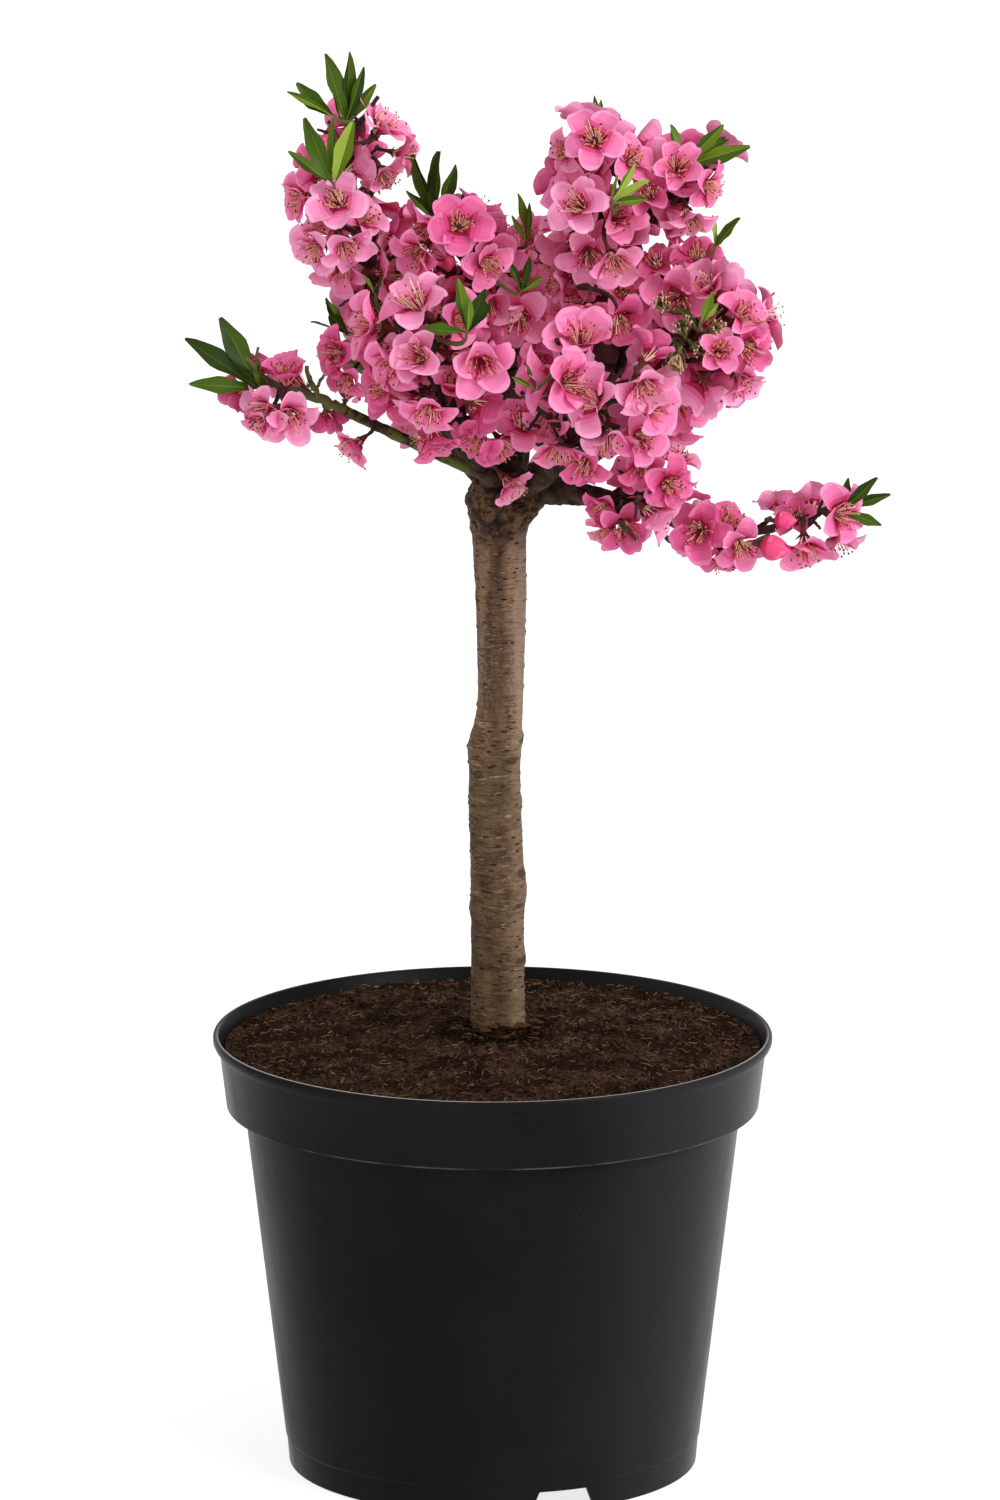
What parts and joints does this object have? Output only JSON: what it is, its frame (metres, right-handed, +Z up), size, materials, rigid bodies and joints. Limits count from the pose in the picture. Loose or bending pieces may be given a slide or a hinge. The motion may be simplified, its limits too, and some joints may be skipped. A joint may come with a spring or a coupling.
{
  "type": "dwarf peach tree in a pot",
  "caption": "Grafted dwarf peach tree in full pink blossom on a short bare stem, standing in a round black nursery pot of compost.",
  "frame": {"origin": "centre of the pot's underside, on the ground", "axes": "+Z up along the stem, -Y towards the front, +X to the right seen from the front, where the long low spray reaches out"},
  "size_m": [0.3427, 0.2955, 0.7148],
  "materials": {
    "pot_plastic": "fine satin, moulded",
    "compost": "crumbly, matt",
    "bark": "smooth bark with dark cross bands",
    "limb_bark": "rough dark bark",
    "blossom": "soft, matt"
  },
  "bodies": {
    "root": {"pot": "pot_plastic", "soil": "compost", "trunk": "bark", "bough_back": "limb_bark", "bough_back_left": "limb_bark", "bough_back_right": "limb_bark", "bough_centre": "limb_bark", "bough_front_left": "limb_bark", "bough_front_right": "limb_bark", "bough_high_right": "limb_bark", "bough_left": "limb_bark", "bough_low_back": "limb_bark", "bough_low_left": "limb_bark", "bough_low_right": "limb_bark", "bough_right": "limb_bark", "bough_side_right": "limb_bark", "bough_under_right": "limb_bark", "blossom_back": "blossom", "blossom_back_left": "blossom", "blossom_back_right": "blossom", "blossom_centre": "blossom", "blossom_front_left": "blossom", "blossom_front_right": "blossom", "blossom_high_right": "blossom", "blossom_left": "blossom", "blossom_low_back": "blossom", "blossom_low_left": "blossom", "blossom_low_right": "blossom", "blossom_right": "blossom", "blossom_side_right": "blossom", "blossom_under_right": "blossom"}
  },
  "joints": []
}
